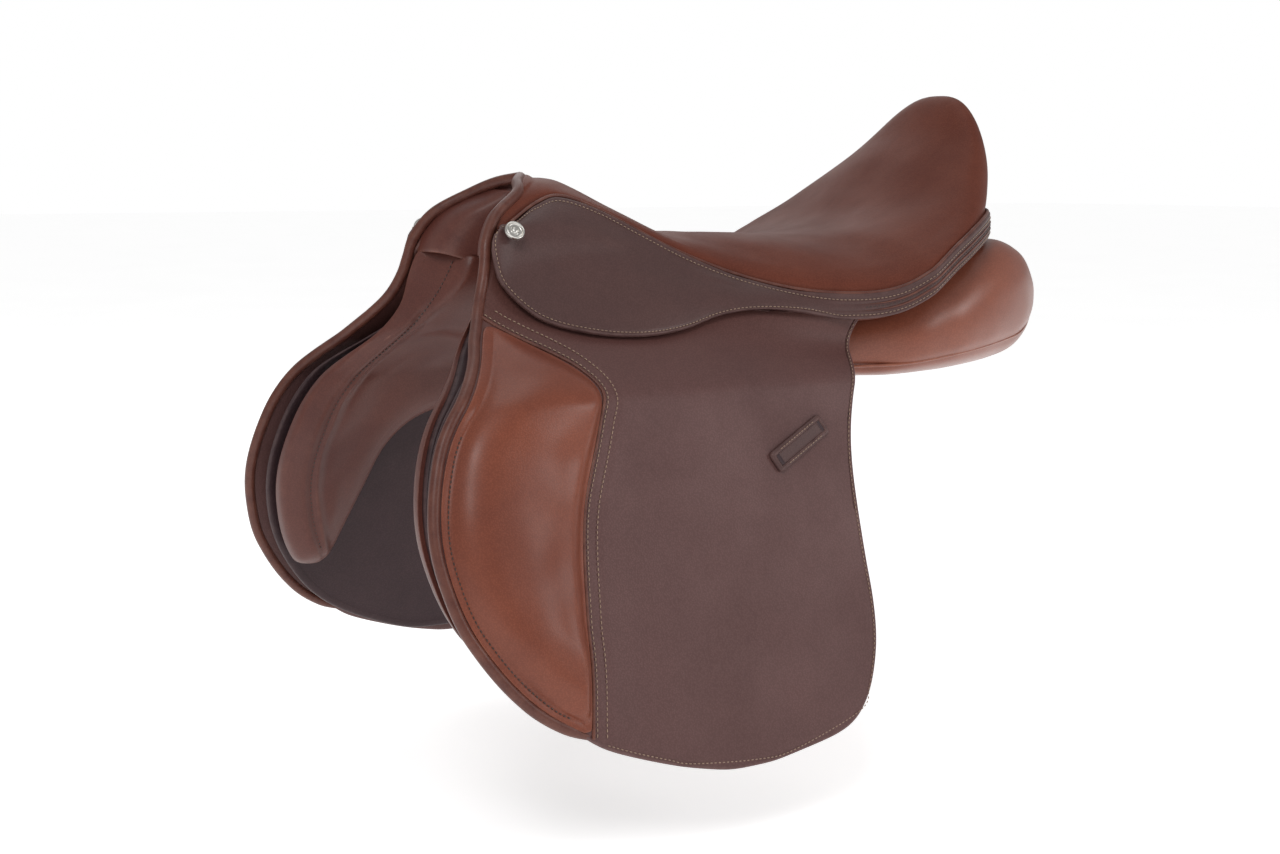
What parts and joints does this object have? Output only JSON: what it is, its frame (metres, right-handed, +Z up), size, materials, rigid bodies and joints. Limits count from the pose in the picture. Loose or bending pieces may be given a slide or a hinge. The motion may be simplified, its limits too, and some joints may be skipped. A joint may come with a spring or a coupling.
{
  "type": "english saddle",
  "caption": "English riding saddle with a deep seat, padded knee blocks, hinged flaps and skirts, panels, tree, stirrup bars and girth straps.",
  "frame": {"origin": "on the symmetry plane, at the height of the panels' lowest line, under the deepest part of the seat", "axes": "+X towards the cantle (rear), -X towards the horse's head, +Y to the horse's right (off side), +Z up"},
  "size_m": [0.586, 0.434, 0.449],
  "materials": {
    "chestnut_leather": "smooth satin",
    "brown_leather": "matte grain",
    "billet_leather": "matte",
    "webbing": "woven",
    "foam": "open cell foam",
    "wool_flock": "loose wool",
    "laminated_wood": "laminated beech",
    "steel": "painted spring steel",
    "stainless": "satin",
    "nickel": "polished nickel"
  },
  "bodies": {
    "saddle": {"tree_frame": "laminated_wood", "head_plate": "steel", "gullet_plate": "steel", "tree_spring_left": "steel", "tree_spring_right": "steel", "tree_rivets": "steel", "stirrup_bar_left": "stainless", "stirrup_bar_right": "stainless", "catch_pin_left": "stainless", "catch_pin_right": "stainless", "seat_webbing": "webbing", "seat_foam": "foam", "seat_cover": "chestnut_leather", "seat_welt": "chestnut_leather", "cantle_back": "chestnut_leather", "pommel_rim": "chestnut_leather", "pommel_facing": "chestnut_leather", "skirt_base_left": "brown_leather", "skirt_base_right": "brown_leather", "skirt_stud_left": "nickel", "skirt_stud_right": "nickel", "flap_head_left": "brown_leather", "flap_head_right": "brown_leather", "sweat_flap_left": "brown_leather", "sweat_flap_right": "brown_leather", "panel_left": "chestnut_leather", "panel_right": "chestnut_leather", "panel_flock_left": "wool_flock", "panel_flock_right": "wool_flock", "panel_front_left": "chestnut_leather", "panel_front_right": "chestnut_leather", "knee_roll_left": "chestnut_leather", "knee_roll_right": "chestnut_leather", "billet_web_left": "webbing", "billet_web_right": "webbing"},
    "flap_right": {"flap_right": "brown_leather", "knee_pad_right": "chestnut_leather", "flap_rim_right": "chestnut_leather", "leather_keeper_right": "brown_leather"},
    "skirt_right": {"skirt_lobe_right": "brown_leather"},
    "catch_right": {"bar_catch_right": "stainless"},
    "billet_right_1": {"billet_right_1": "billet_leather"},
    "billet_right_2": {"billet_right_2": "billet_leather"},
    "billet_right_3": {"billet_right_3": "billet_leather"},
    "flap_left": {"flap_left": "brown_leather", "knee_pad_left": "chestnut_leather", "flap_rim_left": "chestnut_leather", "leather_keeper_left": "brown_leather"},
    "skirt_left": {"skirt_lobe_left": "brown_leather"},
    "catch_left": {"bar_catch_left": "stainless"},
    "billet_left_1": {"billet_left_1": "billet_leather"},
    "billet_left_2": {"billet_left_2": "billet_leather"},
    "billet_left_3": {"billet_left_3": "billet_leather"}
  },
  "joints": [
    {"name": "flap_right_hinge", "type": "hinge", "parent": "saddle", "child": "flap_right", "pos_m": [-0.225, 0.1, 0.036], "axis": [0.9992, 0.0409, 0], "range_deg": [0, 70]},
    {"name": "skirt_right_hinge", "type": "hinge", "parent": "saddle", "child": "skirt_right", "pos_m": [-0.206, 0.07, 0.096], "axis": [0.9719, 0.1537, -0.1785], "range_deg": [0, 58]},
    {"name": "catch_right_hinge", "type": "hinge", "parent": "saddle", "child": "catch_right", "pos_m": [-0.101, 0.059, 0.086], "axis": [0, 1, 0], "range_deg": [0, 80]},
    {"name": "billet_right_1_swing", "type": "hinge", "parent": "saddle", "child": "billet_right_1", "pos_m": [-0.075, 0.141, 0], "axis": [0, 1, 0], "range_deg": [-3.5, 3.5]},
    {"name": "billet_right_2_swing", "type": "hinge", "parent": "saddle", "child": "billet_right_2", "pos_m": [-0.041, 0.141, 0], "axis": [0, 1, 0], "range_deg": [-3.5, 3.5]},
    {"name": "billet_right_3_swing", "type": "hinge", "parent": "saddle", "child": "billet_right_3", "pos_m": [-0.007, 0.141, 0], "axis": [0, 1, 0], "range_deg": [-3.5, 3.5]},
    {"name": "flap_left_hinge", "type": "hinge", "parent": "saddle", "child": "flap_left", "pos_m": [-0.225, -0.1, 0.036], "axis": [-0.9992, 0.0409, 0], "range_deg": [0, 70]},
    {"name": "skirt_left_hinge", "type": "hinge", "parent": "saddle", "child": "skirt_left", "pos_m": [-0.206, -0.07, 0.096], "axis": [-0.9719, 0.1537, 0.1785], "range_deg": [0, 58]},
    {"name": "catch_left_hinge", "type": "hinge", "parent": "saddle", "child": "catch_left", "pos_m": [-0.101, -0.059, 0.086], "axis": [0, 1, 0], "range_deg": [0, 80]},
    {"name": "billet_left_1_swing", "type": "hinge", "parent": "saddle", "child": "billet_left_1", "pos_m": [-0.075, -0.141, 0], "axis": [0, 1, 0], "range_deg": [-3.5, 3.5]},
    {"name": "billet_left_2_swing", "type": "hinge", "parent": "saddle", "child": "billet_left_2", "pos_m": [-0.041, -0.141, 0], "axis": [0, 1, 0], "range_deg": [-3.5, 3.5]},
    {"name": "billet_left_3_swing", "type": "hinge", "parent": "saddle", "child": "billet_left_3", "pos_m": [-0.007, -0.141, 0], "axis": [0, 1, 0], "range_deg": [-3.5, 3.5]}
  ]
}
